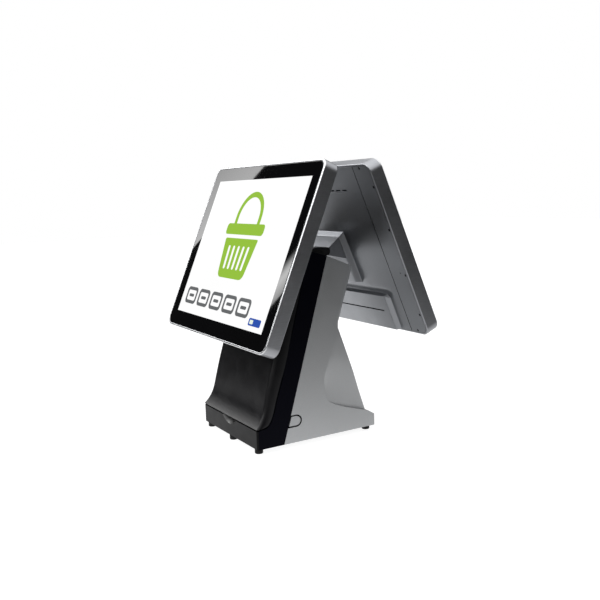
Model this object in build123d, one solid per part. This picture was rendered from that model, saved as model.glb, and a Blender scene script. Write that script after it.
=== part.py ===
from build123d import *
import math
import os

# Two-sided touchscreen checkout terminal: an A-frame stand that carries two
# identical 15 inch displays back to back, one for the cashier (-Y side) and
# one for the customer (+Y side).  Millimetres.
# Frame: Z up, ground at z = 0, X to the cashier's right, origin on the ground
# midway between the two displays.  The front of the stand faces the cashier.

SIDES = (-1, 1)

# ------------------------------------------------------- shared dimensions
# tilt hinges
HINGE_Y = 33.65           # each hinge axis, either side of the mid plane
HINGE_Z = 285.0
PIN_R = 3.0
RUN_GAP = 0.05            # radial running clearance on a pin
CAP_R = 7.5               # hinge cap, outside

# stand
HW = 93.4                 # half width
WALL = 3.0
INNER_HW = HW - WALL
SHIFT = 21.35             # the stand's own centre lies this far toward the cashier
FOOT_H = 8.0              # rubber feet
FLOOR_Z = FOOT_H + 2.0    # top of the base plate
FRONT_Y = -104.5          # front wall, in stand coordinates
REAR_Y = 105.0            # rear edge of the foot, in stand coordinates
FRONT_FACE_Y = FRONT_Y - SHIFT
REAR_FACE_Y = REAR_Y - SHIFT
SEAM_Z = 36.0             # top of the front wall
LEAN = 0.2828             # run over rise of the leaning front
BOUND = 0.305             # run over rise of the line between the two housings
GAP = 0.35                # visible gap between housings
BIG = 400                 # reach of cutting regions, beyond the stand

# hooks that the front cover swings on
PIVOT_Y, PIVOT_Z = -40.5, 280.5
PIVOT_R = 1.5
HOOK_X = 63
HOOK_HALF = 3             # half width of a hook
RIB_X = (HOOK_X - 10, HOOK_X + 10)    # pin ribs, either side of the hook

# power button
BUTTON_Z, BUTTON_R = 41.0, 8.0
BUTTON_Y = -38.0 - SHIFT  # centre of the button's round end
STEM_Y = BUTTON_Y - 3
STEM_END = HW - 13.4      # inner end of the button's stem
BUTTON_TRAVEL = 1.5

# main arm pocket in the top of the stand
POCKET_X = 43.0

# cable and connector opening in the rear of the foot
IO_W, IO_Z0, IO_Z1 = 128.0, 11.5, 24.0


# ------------------------------------------------------------------- helpers
def stand_points(points):
    """Stand side-profile (y, z) points, moved into the object's frame."""
    return [(y - SHIFT, z) for y, z in points]


def prism_x(face, x0, x1):
    """Prism along X from a (y, z) face, between two x in either order."""
    x0, x1 = sorted((x0, x1))
    return extrude(Plane.YZ.offset(x0) * face, amount=x1 - x0, dir=(1, 0, 0))


def poly_x(points, x0, x1):
    return prism_x(make_face(Polyline(*points, close=True)), x0, x1)


def box(x0, x1, y0, y1, z0, z1):
    """Box between two corners, bounds in either order."""
    middle = Pos((x0 + x1) / 2, (y0 + y1) / 2, (z0 + z1) / 2)
    return middle * Box(abs(x1 - x0), abs(y1 - y0), abs(z1 - z0))


def cyl_x(radius, x0, x1, y, z):
    return Pos((x0 + x1) / 2, y, z) * Rot(0, 90, 0) * Cylinder(radius, abs(x1 - x0))


def cyl_z(radius, x, y, z0, z1):
    return Pos(x, y, (z0 + z1) / 2) * Cylinder(radius, z1 - z0)


def slot(length, width, x, y, z, turn=90):
    """Cutter for a round-ended slot, 4 mm to each side of z; along Y by default."""
    return Pos(x, y, z) * extrude(SlotOverall(length, width, rotation=turn), amount=4, both=True)


def cut_cross(shape, x, y, z, length, width, depth):
    """Cut a cross recess centred on (x, y, z)."""
    return (shape - Pos(x, y, z) * Box(length, width, depth)
            - Pos(x, y, z) * Box(width, length, depth))


def rounded(shape, pick, radii):
    """Fillet the picked edges, at the first radius the shape accepts."""
    for radius in radii:
        # guards against a radius too large for the kernel: the next one is tried
        try:
            edges = [e for e in shape.edges() if pick(e)]
            if not edges:
                return shape
            result = fillet(edges, radius=radius)
            if result.volume > 0 and len(result.solids()) == 1:
                return result
        except Exception:
            pass
    return shape


def save(piece, name):
    """Write a shape, or a list of shapes as one compound."""
    if isinstance(piece, list):
        piece = Compound(children=[s for item in piece for s in item.solids()])
    piece.label = name
    export_step(piece, f"parts/{name}.step")


# ------------------------------------------------------- stand outer outline
# (y, z) in stand coordinates: the curved front, from the front wall upward
FRONT_CURVE = [(FRONT_Y, 40.5), (-95, 54), (-87.5, 69), (-81.5, 88.5), (-75, 110), (-68.5, 132.7)]
# (y, z): from the rear of the deck down the back of the upright and over the foot
BACK_PROFILE = [(68.8, 264.6), (68.5, 255.4), (49.1, 198.3), (43.2, 180.0), (42.9, 172.0),
                (67.1, 106.1), (93.8, 33.4), (104.5, 26.8), (REAR_Y, 25.8)]
DECK_POINT = (22.0, 283.3)              # a point on the top deck
BOUND_POINT = (-61.0, 5.5)              # a point on the line between the housings
FRONT_TANGENTS = ((0.55, 0.83), (LEAN, 1.0))
CURVE_STEPS = 12                        # samples of the front curve for the inner face
LEAN_Y, LEAN_Z = FRONT_CURVE[-1]        # the straight leaning front starts here


# these three lines take and give positions in the object's frame
def deck_z(y):
    return DECK_POINT[1] + (DECK_POINT[0] - SHIFT - y) * LEAN


def front_y(z):
    return LEAN_Y - SHIFT + (z - LEAN_Z) * LEAN


def bound_y(z):
    return BOUND_POINT[0] - SHIFT + (z - BOUND_POINT[1]) * BOUND


# where the leaning front meets the deck
top_z = ((DECK_POINT[1] + (DECK_POINT[0] - LEAN_Y) * LEAN + LEAN_Z * LEAN * LEAN)
         / (1 + LEAN * LEAN))
TOP = (front_y(top_z), top_z)
DECK_END = (23.0 - SHIFT, deck_z(23.0 - SHIFT))
FRONT = stand_points(FRONT_CURVE)
REST = [TOP, DECK_END] + stand_points(BACK_PROFILE)


def ring(front, rest, bottom):
    """Side view as one face: foot of the front wall, curved front, straight rest."""
    points = [front[-1]] + rest
    edges = [Line((front[0][0], bottom), front[0]), Spline(*front, tangents=FRONT_TANGENTS)]
    edges += [Line(a, b) for a, b in zip(points, points[1:])]
    edges += [Line(points[-1], (points[-1][0], bottom)),
              Line((points[-1][0], bottom), (front[0][0], bottom))]
    return make_face(edges)


def moved_right(points, distance):
    """Polyline moved to its right by distance, with mitred corners."""
    normals = []
    for a, b in zip(points, points[1:]):
        length = math.hypot(b[0] - a[0], b[1] - a[1])
        normals.append(((b[1] - a[1]) / length, -(b[0] - a[0]) / length))
    moved = []
    for p, u, v in zip(points, normals[:1] + normals, normals + normals[-1:]):
        k = distance / (1 + u[0] * v[0] + u[1] * v[1])
        moved.append((p[0] + (u[0] + v[0]) * k, p[1] + (u[1] + v[1]) * k))
    return moved


def inner_face():
    """The hollow of the stand: the outline moved in by the wall, open below."""
    curve = Spline(*FRONT, tangents=FRONT_TANGENTS)
    samples = [curve @ (i / CURVE_STEPS) for i in range(CURVE_STEPS + 1)]
    walk = [(FRONT_FACE_Y, -20)] + [(v.X, v.Y) for v in samples] + REST + [(REAR_FACE_Y, -20)]
    walk = moved_right(walk, WALL)
    split_at = CURVE_STEPS + 2
    return ring(walk[1:split_at], walk[split_at:-1], FOOT_H - 12)


# -------------------------------------------------------------- stand solids
def front_edges(half_width, lowest, low_y, reach):
    """Picker of the side edges along the front: low ones by low_y (stand
    coordinates), high ones within reach of the leaning front."""
    def pick(edge):
        c = edge.center()
        limit = low_y - SHIFT if c.Z < 140 else front_y(c.Z) + reach
        return abs(abs(c.X) - half_width) < 0.01 and c.Z > lowest and c.Y < limit
    return pick


def upright_edges(edge):
    """The side edges down the back of the upright."""
    c = edge.center()
    return abs(abs(c.X) - HW) < 0.01 and 40 <= c.Y + SHIFT <= 75 and 120 <= c.Z <= 262


# the hollow on each lower side of the upright: it deepens smoothly toward the
# rear from a line that slopes down and forward, and ends below in the top of
# the foot and in front in a short curled wall
SCOOP_ALONG = (-0.388, -0.922)               # direction of that line (y, z)
SCOOP_ACROSS = (0.922, -0.388)               # toward the lower rear
SCOOP_START = (42.6 - SHIFT, 175.0)
# (y, z) outline of the hollow, in stand coordinates
SCOOP = [(13.2, 104), (13.3, 92), (13.9, 80), (15.4, 70), (17.6, 64.0), (21.5, 59.2),
         (32.2, 53.6), (50.9, 46.5), (71.0, 40.2), (93.8, 33.4), (130, 16.0), (130, 185),
         (46, 185)]
# stations of the floor surface, across and along the line
GRID_ACROSS = (-12, -6, 0, 3, 6, 9, 12, 16, 22, 30, 42, 58, 78, 102, 150)
GRID_ALONG = (-60, -25, 0, 20, 40, 50, 60, 70, 80, 90, 100, 120, 160)


def scoop_depth(across, along):
    """Depth of the hollow at a place across and along its upper line."""
    if across <= 0:
        return 0.03 * across
    blend = min(max((along - 40.0) / 55.0, 0.0), 1.0)
    blend = blend * blend * (3 - 2 * blend)
    return (0.03 * across + 0.04 * across * across / (across + 5)
            + 3.0 * blend * (1 - math.exp(-(across / 8.0) ** 2)))


def cut_scoops(shape, wall):
    """Cut both hollows, moved inward by wall."""
    points = []
    for y, z in SCOOP:
        if y < 20:
            y -= wall
        elif z < 100:
            z -= wall
        points.append((y, z))
    region = poly_x(stand_points(points), HW - 40, HW + 10)
    rows = [[Vector(HW - wall - scoop_depth(s, t),
                    SCOOP_START[0] + s * SCOOP_ACROSS[0] + t * SCOOP_ALONG[0],
                    SCOOP_START[1] + s * SCOOP_ACROSS[1] + t * SCOOP_ALONG[1])
             for s in GRID_ACROSS] for t in GRID_ALONG]
    floor = Face.make_surface_from_array_of_points(rows, tol=0.005, min_deg=3, max_deg=5)
    cut = region & extrude(floor, amount=40, dir=(1, 0, 0))
    return shape - cut - mirror(cut, Plane.YZ)


outer = prism_x(ring(FRONT, REST, FOOT_H), -HW, HW)
outer_front_edges = front_edges(HW, FOOT_H + 0.5, -60, 3)
outer_wall = rounded(outer, outer_front_edges, (4.0, 3.0, 2.0))
outer_cover = rounded(outer, outer_front_edges, (10.0, 8.0, 6.0))
outer_rear = cut_scoops(rounded(outer, upright_edges, (6.0, 4.0, 2.0)), 0)

inner = prism_x(inner_face(), -INNER_HW, INNER_HW)
inner_cover = rounded(inner, front_edges(INNER_HW, 30, -55, 6), (7.0, 5.0, 3.0))
inner_rear = cut_scoops(inner, WALL)

# openings for the main arm, through the top: in the cover and in the housings
notch = box(-POCKET_X - 3, POCKET_X + 3, -90, 60, 258.0, 330)
top_opening = box(-POCKET_X, POCKET_X, -90, 19.6, 256.0, 330)


def housing_region(side):
    """Everything in front (-1) or to the rear (1) of the line between housings."""
    low, high = -20, 320
    return poly_x([(side * BIG, low), (bound_y(low) + side * GAP / 2, low),
                   (bound_y(high) + side * GAP / 2, high), (side * BIG, high)], -BIG, BIG)


# (y, z) of the seam down the side of the front cover, in stand coordinates
COVER_SEAM = [(-100, 37.6), (-90.5, 38.6), (-84.6, 42.2), (-80.5, 48.4),
              (-75, 61.9), (-71.5, 75), (-61.9, 103), (-52.9, 130)]
COVER_TOP_DROP = 8.0      # the front cover stops this far below the deck
COVER_DEPTH = 16          # of the cover's side, behind the leaning front


def cover_region(grow):
    """Side view of what belongs to the front cover: from the front to its seam."""
    high = 300.0
    bottom = SEAM_Z + 0.7 - grow
    points = [(-BIG, bottom), (FRONT_FACE_Y + 3, bottom)]
    points += [(y + grow, z - grow * 0.6) for y, z in stand_points(COVER_SEAM)]
    points += [(front_y(z) + COVER_DEPTH + grow, z) for z in (150, high)] + [(-BIG, high)]
    # cut parallel to the deck, below it
    drop = COVER_TOP_DROP - grow
    above = poly_x([(-BIG, deck_z(-BIG) - drop), (BIG, deck_z(BIG) - drop),
                    (BIG, 900), (-BIG, 900)], -BIG, BIG)
    return poly_x(points, -BIG, BIG) - above


# -------------------------------------------------------------- stand pieces
def front_cover():
    cover = (outer_cover & cover_region(0.0)) - inner_cover - notch
    spans = [(side * HOOK_X - HOOK_HALF, side * HOOK_X + HOOK_HALF) for side in SIDES]
    for x0, x1 in spans:
        web = poly_x([(PIVOT_Y, PIVOT_Z - 3.0), (PIVOT_Y, PIVOT_Z + 2.4),
                      (front_y(PIVOT_Z + 1.5) + 2.0, PIVOT_Z + 1.5),
                      (front_y(PIVOT_Z - 12) + 2.0, PIVOT_Z - 12)], x0, x1)
        cover = cover + cyl_x(3.2, x0, x1, PIVOT_Y, PIVOT_Z) + web
    for x0, x1 in spans:
        cover = cover - cyl_x(PIVOT_R + RUN_GAP, x0 - 1, x1 + 1, PIVOT_Y, PIVOT_Z)
    # two stiffening ribs down the inside of the cover
    for side in SIDES:
        cover = cover + poly_x([(front_y(250) + 2.2, 250), (front_y(250) + 8.0, 250),
                                (front_y(140) + 8.0, 140), (front_y(140) + 2.2, 140)],
                               side * 30 - 1, side * 30 + 1)
    return cover


def front_housing():
    housing = (outer_wall & housing_region(-1)) - inner - cover_region(1.0) - top_opening
    # thumb recess in the middle of the front wall, with a thicker wall behind it;
    # the sphere meets the wall's face 10 below the top of the wall
    housing = housing + box(-28, 28, FRONT_FACE_Y + 1, FRONT_FACE_Y + 14.5, 22.5, SEAM_Z - 0.3)
    rise, radius = 23.1, 37.0
    out = math.sqrt(radius ** 2 - (rise + 10.0) ** 2)
    housing = housing - Pos(0, FRONT_FACE_Y - out, SEAM_Z + rise) * Sphere(radius)
    # pocket that the main arm drops into: cheeks and floor
    pocket_rear, cheek_x = -24, POCKET_X + 2.5
    cheek = [(front_y(259), 259), (front_y(279), 279), (TOP[0] + 0.3, TOP[1] - 0.3),
             (pocket_rear, deck_z(pocket_rear)), (pocket_rear, 265)]
    for side in SIDES:
        housing = housing + poly_x(cheek, side * POCKET_X, side * cheek_x)
    housing = housing + poly_x([(front_y(259), 259), (pocket_rear, 265.5), (pocket_rear, 268),
                                (front_y(261.5), 261.5)], -cheek_x, cheek_x)
    # ribs under the deck that hold the cover's two pivot pins
    rib = [(-41.6, deck_z(-41.6) - 1.5), (-36.0, deck_z(-36.0) - 1.0), (-36.0, PIVOT_Z - 3.5),
           (-43.0, PIVOT_Z - 3.5), (-42.0, PIVOT_Z + 3.5)]
    places = [side * x for side in SIDES for x in RIB_X]
    for x in places:
        housing = housing + poly_x(rib, x - 2, x + 2)
    for x in places:
        housing = housing - cyl_x(PIVOT_R + 0.02, x - 2.2, x + 2.2, PIVOT_Y, PIVOT_Z)
    return housing


def cover_pivot_pins():
    return [cyl_x(PIVOT_R, side * HOOK_X - 11.8, side * HOOK_X + 11.8, PIVOT_Y, PIVOT_Z)
            for side in SIDES]


def button_face(grow):
    """A D against the line between the housings, round toward the rear."""
    low, high = BUTTON_Z - BUTTON_R - grow, BUTTON_Z + BUTTON_R + grow
    margin = GAP / 2 + 0.6 - grow
    front_low = (bound_y(low) + margin, low)
    front_high = (bound_y(high) + margin, high)
    rear_high, rear_low = (BUTTON_Y, high), (BUTTON_Y, low)
    tip = (BUTTON_Y + BUTTON_R + grow, BUTTON_Z)
    return make_face([Line(front_low, front_high), Line(front_high, rear_high),
                      ThreePointArc(rear_high, tip, rear_low), Line(rear_low, front_low)])


def rear_housing():
    housing = (outer_rear & housing_region(1)) - inner_rear - top_opening
    housing = housing - prism_x(button_face(1.3), INNER_HW - 2, HW + 2)
    return housing - box(-IO_W / 2, IO_W / 2, REAR_FACE_Y - 8, REAR_FACE_Y + 4, IO_Z0, IO_Z1)


def power_button():
    button = prism_x(button_face(0.0), HW - 2.6, HW)
    button = rounded(button, lambda e: abs(e.center().X - HW) < 0.01, (0.5, 0.3))
    button = button + prism_x(button_face(-1.5), HW - 4.4, HW - 2.6)
    button = button + prism_x(button_face(2.2), HW - 4.6, HW - 3.4)      # inner flange
    return button + cyl_x(2.5, STEM_END, HW - 4.4, STEM_Y, BUTTON_Z)


def power_switch():
    """Switch body and plunger on an L bracket, behind the button's stem."""
    switch = box(70, 76, STEM_Y - 6, STEM_Y + 6, BUTTON_Z - 6, BUTTON_Z + 6)
    switch = switch + cyl_x(2.0, 76, STEM_END - BUTTON_TRAVEL - 0.1, STEM_Y, BUTTON_Z)
    switch = switch + box(68.4, 70, STEM_Y - 10, STEM_Y + 10, FLOOR_Z + 2.2, BUTTON_Z + 10)
    return switch + box(60, 70, STEM_Y - 10, STEM_Y + 10, FLOOR_Z, FLOOR_Z + 2.2)


# ------------------------------------------------------- base plate and feet
FEET = [(x, y - SHIFT) for x, y in [(-82, -97), (82, -97), (0, -98), (-80, 97), (80, 97)]]
SPINE_SCREWS = [(-38, -40), (38, -40), (-38, 10), (38, 10)]
SPINE_HOLE_R = 2.1


def base_plate():
    half_x = INNER_HW - 0.2
    plate = box(-half_x, half_x, FRONT_FACE_Y + WALL + 0.2, REAR_FACE_Y - WALL - 0.2,
                FOOT_H, FLOOR_Z)
    for x, y in FEET:
        plate = plate - cyl_z(2.5, x, y, FOOT_H - 1, FOOT_H + 3)
    for x, y in SPINE_SCREWS:
        plate = plate - cyl_z(SPINE_HOLE_R, x, y, FOOT_H - 1, FOOT_H + 3)
    # ventilation slots under the board, and a small grid under the loudspeaker
    for i in range(9):
        plate = plate - slot(30, 3, 14 * (i - 4), 44, FOOT_H + 1)
    for i in range(5):
        for j in range(3):
            plate = plate - cyl_z(1.2, 4 * (i - 2), -94 + 4 * j, FOOT_H - 1, FOOT_H + 3)
    return plate


def rubber_feet():
    feet = []
    for x, y in FEET:
        foot = Pos(x, y, FOOT_H / 2) * Cylinder(6.2, FOOT_H)
        bottom = foot.edges().filter_by(GeomType.CIRCLE).sort_by(Axis.Z)[0]
        foot = fillet(bottom, radius=1.2)
        # neck through the base plate, and a button above it
        foot = foot + cyl_z(2.4, x, y, FOOT_H, FLOOR_Z)
        feet.append(foot + cyl_z(3.4, x, y, FLOOR_Z, FLOOR_Z + 1.2))
    return feet


# ---------------------------------------------------------- spine and hinges
COLUMN_Y0, COLUMN_Y1 = -20.0, 14.0
EAR_R = 6.0
EAR_X0, EAR_X1 = 24.0, 28.0
PIN_HOLE_R = PIN_R + 0.03     # in washers and nuts


def hinge_cyl(radius, x0, x1, side):
    return cyl_x(radius, x0, x1, side * HINGE_Y, HINGE_Z)


def stadium_bar(radius, x0, x1):
    """Bar that wraps both hinge axes."""
    return (box(x0, x1, -HINGE_Y, HINGE_Y, HINGE_Z - radius, HINGE_Z + radius)
            + hinge_cyl(radius, x0, x1, -1) + hinge_cyl(radius, x0, x1, 1))


def spine_bracket():
    plates = [stadium_bar(EAR_R, side * EAR_X0, side * EAR_X1)
              + box(side * EAR_X0, side * EAR_X1, COLUMN_Y0, COLUMN_Y1, FLOOR_Z, HINGE_Z)
              for side in SIDES]
    spine = plates[0] + plates[1]
    spine = spine + box(-EAR_X0, EAR_X0, -5.0, -1.0, FLOOR_Z, 272.0)     # web
    spine = spine + box(-45, 45, -47, 17, FLOOR_Z, 13.0)                 # foot flange
    for z in (60, 110, 160, 210):
        spine = spine - Pos(0, -3, z) * Box(22, 8, 26)
    for side in SIDES:
        spine = spine - hinge_cyl(PIN_R, -40, 40, side)
    for x, y in SPINE_SCREWS:
        spine = spine - cyl_z(SPINE_HOLE_R, x, y, 9, 14)
    return spine


def spine_screws():
    """Screws from below, each with a round nut on the flange."""
    screws = []
    for x, y in SPINE_SCREWS:
        screw = cyl_z(2.0, x, y, FOOT_H + 0.1, 14.2) + cyl_z(3.8, x, y, FOOT_H - 2.2, FOOT_H)
        screw = screw + cyl_z(2.0, x, y, FOOT_H - 0.1, FOOT_H + 0.2)
        screw = screw + cyl_z(3.6, x, y, 13.0, 16.2)
        screws.append(cut_cross(screw, x, y, FOOT_H - 2.2, 4.2, 0.9, 1.6))
    return screws


def hinge_pin(side):
    pin = hinge_cyl(PIN_R, -33.5, 33.5, side)
    return chamfer(pin.edges().filter_by(GeomType.CIRCLE), length=0.4)


def friction_washers():
    """Two washers between the arm knuckle and each ear."""
    first_x, pitch, thickness = 20.1, 1.95, 1.85
    return [hinge_cyl(EAR_R - 0.2, end * x, end * (x + thickness), side)
            - hinge_cyl(PIN_HOLE_R, -40, 40, side)
            for side in SIDES for end in SIDES for x in (first_x, first_x + pitch)]


def hinge_nuts():
    return [prism_x(Pos(side * HINGE_Y, HINGE_Z, 0) * RegularPolygon(5.6, 6),
                    end * (EAR_X1 + 0.05), end * 32.0)
            - hinge_cyl(PIN_HOLE_R, -40, 40, side)
            for side in SIDES for end in SIDES]


def hinge_cap():
    """Cover over both hinge barrels."""
    cap = stadium_bar(CAP_R, -42.0, 42.0) - stadium_bar(EAR_R + 0.25, -40.6, 40.6)
    cap = cap - box(-30, 30, COLUMN_Y0 - 0.6, COLUMN_Y1 + 0.6, HINGE_Z - 12, HINGE_Z)
    for side in SIDES:
        cap = cap - box(-22.4, 22.4, side * 25.5, side * 60, HINGE_Z - 20, HINGE_Z + 20)
    # two shallow grooves on each end
    for side in SIDES:
        for z in (HINGE_Z + 3.2, HINGE_Z - 1.2):
            cap = cap - box(side * 41.4, side * 43, -29, 29, z - 0.55, z + 0.55)
    return cap


# -------------------------------------------------------- electronics, base
PCB_Z = 14.0
PCB_TOP = PCB_Z + 1.6
STANDOFFS = [(-70, 25), (70, 25), (-70, 72), (70, 72)]
# x0, x1, y0, y1, height of the parts on the board; the last lies under the heatsink
CHIPS = [(-60, -40, 30, 44, 1.6), (-34, -22, 28, 40, 1.2), (30, 44, 26, 40, 1.4),
         (50, 62, 30, 38, 2.2), (-62, -50, 50, 58, 3.0), (36, 48, 46, 54, 2.4),
         (-14, 14, 31, 59, 1.4)]
CONNECTOR_Z = PCB_TOP + 0.05
# centre x, width, height of the connectors, no taller than the opening allows
CONNECTORS = [(x, width, min(height, IO_Z1 - 0.3 - CONNECTOR_Z)) for x, width, height in
              [(-58, 9, 11.0), (-40, 15, 8.0), (-20, 15, 8.0),
               (2, 15.5, 9.2), (24, 17, 8.0), (46, 15, 8.0)]]


def mainboard():
    board = box(-75, 75, 20.0, 79.0, PCB_Z, PCB_TOP)
    for x, y in STANDOFFS:
        board = board - cyl_z(1.7, x, y, PCB_Z - 1, PCB_Z + 3)
    for x0, x1, y0, y1, height in CHIPS:
        board = board + box(x0, x1, y0, y1, PCB_TOP, PCB_TOP + height)
    return board


def board_standoffs():
    """Hexagonal posts, each with the screw that holds the board."""
    posts = []
    for x, y in STANDOFFS:
        post = Pos(x, y, FLOOR_Z) * extrude(RegularPolygon(3.0, 6), amount=PCB_Z - FLOOR_Z)
        post = post + cyl_z(1.6, x, y, PCB_Z, PCB_TOP)
        posts.append(post + cyl_z(3.0, x, y, PCB_TOP, PCB_TOP + 1.8))
    return posts


def heatsink():
    fin_z = PCB_Z + 6.0
    sink = box(-20, 20, 25, 65, PCB_Z + 3.05, fin_z)
    for i in range(8):
        x = -19 + i * 5.2
        sink = sink + box(x, x + 1.6, 25, 65, fin_z, fin_z + 10.0)
    return sink


def io_connectors():
    """Sockets open to the rear, each with a tongue inside."""
    sockets = []
    wall = 1.1
    for x, width, height in CONNECTORS:
        half, top, middle = width / 2, CONNECTOR_Z + height, CONNECTOR_Z + height / 2
        socket = box(x - half, x + half, 66.0, 80.6, CONNECTOR_Z, top)
        socket = socket - box(x - half + wall, x + half - wall, 72.0, 82.0,
                              CONNECTOR_Z + wall, top - wall)
        sockets.append(socket + box(x - half + 2 * wall, x + half - 2 * wall, 72.0, 78.0,
                                    middle - 0.6, middle + 0.6))
    return sockets


def io_panel():
    inside_y = REAR_FACE_Y - WALL
    panel = box(-IO_W / 2 - 3, IO_W / 2 + 3, inside_y - 1.3, inside_y - 0.3, 10.2, 24.2)
    for x, width, height in CONNECTORS:
        half = width / 2 + 0.3
        panel = panel - box(x - half, x + half, 70, 90,
                            CONNECTOR_Z - 0.25, CONNECTOR_Z + height + 0.3)
    return panel


def speaker():
    """Loudspeaker box with a downward cone in a round recess."""
    y = -94
    body = box(-24, 24, -108, -84, 10.2, 24.0) - cyl_z(9.5, 0, y, 9, 13.0)
    return body + (cyl_z(8.0, 0, y, 11.2, 13.2) - Pos(0, y, 9.2) * Sphere(3.6))


# x on the +X side, y, z of the cable from the board up to the hinges
CABLE_PATH = [(33, 28, PCB_Z + 6), (34, 24, 40), (34, 20, 90),
              (34, 8, 170), (34, -4, 240), (33, -10, 268)]


def display_cables():
    cables = []
    for side in SIDES:
        points = [(side * x, y, z) for x, y, z in CABLE_PATH]
        path = Spline(*points)
        profile = Plane(origin=points[0], z_dir=path % 0) * Circle(2.0)
        cables.append(sweep(profile, path=path))
    return cables


# ------------------------------------------------------------------ displays
# Local frame of a display: origin at the centre of its front face, +Z out of
# the screen, +Y up the screen, +X to the right as its viewer sees it.  The
# customer's display is the same assembly turned half round.
DISP_W = 344.0            # outer width of the aluminium frame
DISP_H = 280.0            # outer height
DISP_T = 22.0             # depth of the frame
DISP_R = 15.0             # outer corner radius
DISP_Y = 98.05            # distance of the front face centre from the mid plane
DISP_Z = 294.0            # height of the front face centre
TILT = math.radians(23.0)           # lean back from vertical at rest
FRAME_WALL = 3.0
GLASS_GAP = 0.25
GLASS_BACK = -1.9
TAPE_BACK = -2.2
COVER_T = 2.0             # rear cover wall
SEAM_X = 132.0            # half width of the centre rear cover

MAIN = Plane(origin=(0, -DISP_Y, DISP_Z), x_dir=(1, 0, 0),
             z_dir=(0, -math.cos(TILT), math.sin(TILT)))
# hinge axis in the display's frame
to_hinge_y, to_hinge_z = DISP_Y - HINGE_Y, HINGE_Z - DISP_Z
AXIS_Y = to_hinge_y * math.sin(TILT) + to_hinge_z * math.cos(TILT)
AXIS_Z = -to_hinge_y * math.cos(TILT) + to_hinge_z * math.sin(TILT)

BACK = -DISP_T
COVER_IN = BACK + COVER_T           # inner face of the rear cover
PLINTH_Z = BACK - 10.0              # raised arm seat on the rear cover
BLOCK_Z = BACK - 6.0                # raised lower block on the rear cover
INNER_W, INNER_H = DISP_W - 2 * FRAME_WALL, DISP_H - 2 * FRAME_WALL
INNER_R = DISP_R - FRAME_WALL
GLASS_W, GLASS_H = INNER_W - 2 * GLASS_GAP, INNER_H - 2 * GLASS_GAP
COVER_X, COVER_Y = INNER_W / 2 - 0.3, INNER_H / 2 - 0.3     # half sizes, whole rear
MID_Z0, MID_Z1 = -12.6, -11.2

SIDE_SCREWS = [(side * 165.6, y) for side in SIDES for y in (-104, -37, 37, 104)]
END_SCREWS = [(side * 147, end * 133.6) for side in SIDES for end in SIDES]
REAR_SCREWS = SIDE_SCREWS + END_SCREWS
ARM_SCREWS = [(side * 29.0, y) for side in SIDES for y in (-22.0, 34.0)]


def slab(width, height, radius, z0, z1, x=0.0, y=0.0):
    """Plate across the screen, with rounded corners where radius is not 0."""
    face = RectangleRounded(width, height, radius) if radius > 0 else Rectangle(width, height)
    return Pos(x, y, z0) * extrude(face, amount=z1 - z0)


def front_rim(edge):
    """The outer edges of the front face, corners included."""
    c = edge.center()
    x, y = abs(c.X), abs(c.Y)
    straight = abs(x - DISP_W / 2) < 0.01 or abs(y - DISP_H / 2) < 0.01
    corner = x > DISP_W / 2 - DISP_R * 0.32 and y > DISP_H / 2 - DISP_R * 0.9
    return abs(c.Z) < 0.01 and (straight or corner)


def frame():
    body = slab(DISP_W, DISP_H, DISP_R, BACK, 0)
    body = body - slab(INNER_W, INNER_H, INNER_R, BACK - 1, 1)
    ledge = (slab(INNER_W + 0.4, INNER_H + 0.4, INNER_R, TAPE_BACK - 1.8, TAPE_BACK)
             - slab(INNER_W - 7, INNER_H - 7, INNER_R - 3.5, -9, 1))
    body = rounded(body + ledge, front_rim, (1.6, 1.0, 0.6))
    # screw bosses, run 1 into the frame wall
    half, low, high = 2.6, COVER_IN + 0.1, -8.0
    for x, y in SIDE_SCREWS:
        side = math.copysign(1, x)
        body = body + box(x - side * half, side * (INNER_W / 2 + 1), y - half, y + half, low, high)
    for x, y in END_SCREWS:
        end = math.copysign(1, y)
        body = body + box(x - half, x + half, y - end * half, end * (INNER_H / 2 + 1), low, high)
    for x, y in REAR_SCREWS:
        body = body - cyl_z(1.25, x, y, COVER_IN - 1, -9.5)
    return body


def touch_glass():
    return slab(GLASS_W, GLASS_H, INNER_R - GLASS_GAP, GLASS_BACK, -0.1)


def glass_tape():
    return (slab(GLASS_W - 0.6, GLASS_H - 0.6, INNER_R - 0.6, TAPE_BACK, GLASS_BACK)
            - slab(GLASS_W - 6.0, GLASS_H - 6.0, INNER_R - 3.2, -9, 1))


def lcd_panel():
    return slab(316, 242, 0, -3.9, -2.5)


def light_guide():
    return slab(312, 238, 0, -8.6, -4.6)


def backlight_tray():
    tray = slab(326, 252, 2, -10.6, -3.95) - slab(324, 250, 1, -9.6, -3.0)
    return tray + (slab(325, 251, 0, -4.5, -4.05) - slab(308, 233, 0, -6, -3))


def mid_plate():
    plate = slab(326, 262, 3, MID_Z0, MID_Z1)
    for x in (-150, 150):
        for y in (-110, 110):
            plate = plate - cyl_z(2.2, x, y, -20, -5)
    for x in (-90, -60, -30, 30, 60, 90):
        plate = plate - slot(40, 6, x, 96, -12)
    for x in (-120, 120):
        plate = plate - slot(120, 8, x, 0, -12)
    for x, y in ARM_SCREWS:
        plate = plate - cyl_z(1.6, x, y, -20, -5)
    return plate


def controller_board():
    board_x, board_y, front, back = -60, -64, -14.8, -16.4
    board = slab(110, 34, 1, back, front, x=board_x, y=board_y)
    # width, height, rear face z, x, y of the chips
    for width, height, z, x, y in [(16, 16, -17.6, -80, -64), (22, 8, -18.6, -40, -56),
                                   (10, 8, -17.8, -20, -70)]:
        board = board + slab(width, height, 0, z, back, x=x, y=y)
    for x in (board_x - 50, board_x + 50):
        for y in (board_y - 12, board_y + 12):
            board = board + cyl_z(2.0, x, y, front, MID_Z0 - 0.05)
    return board


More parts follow.
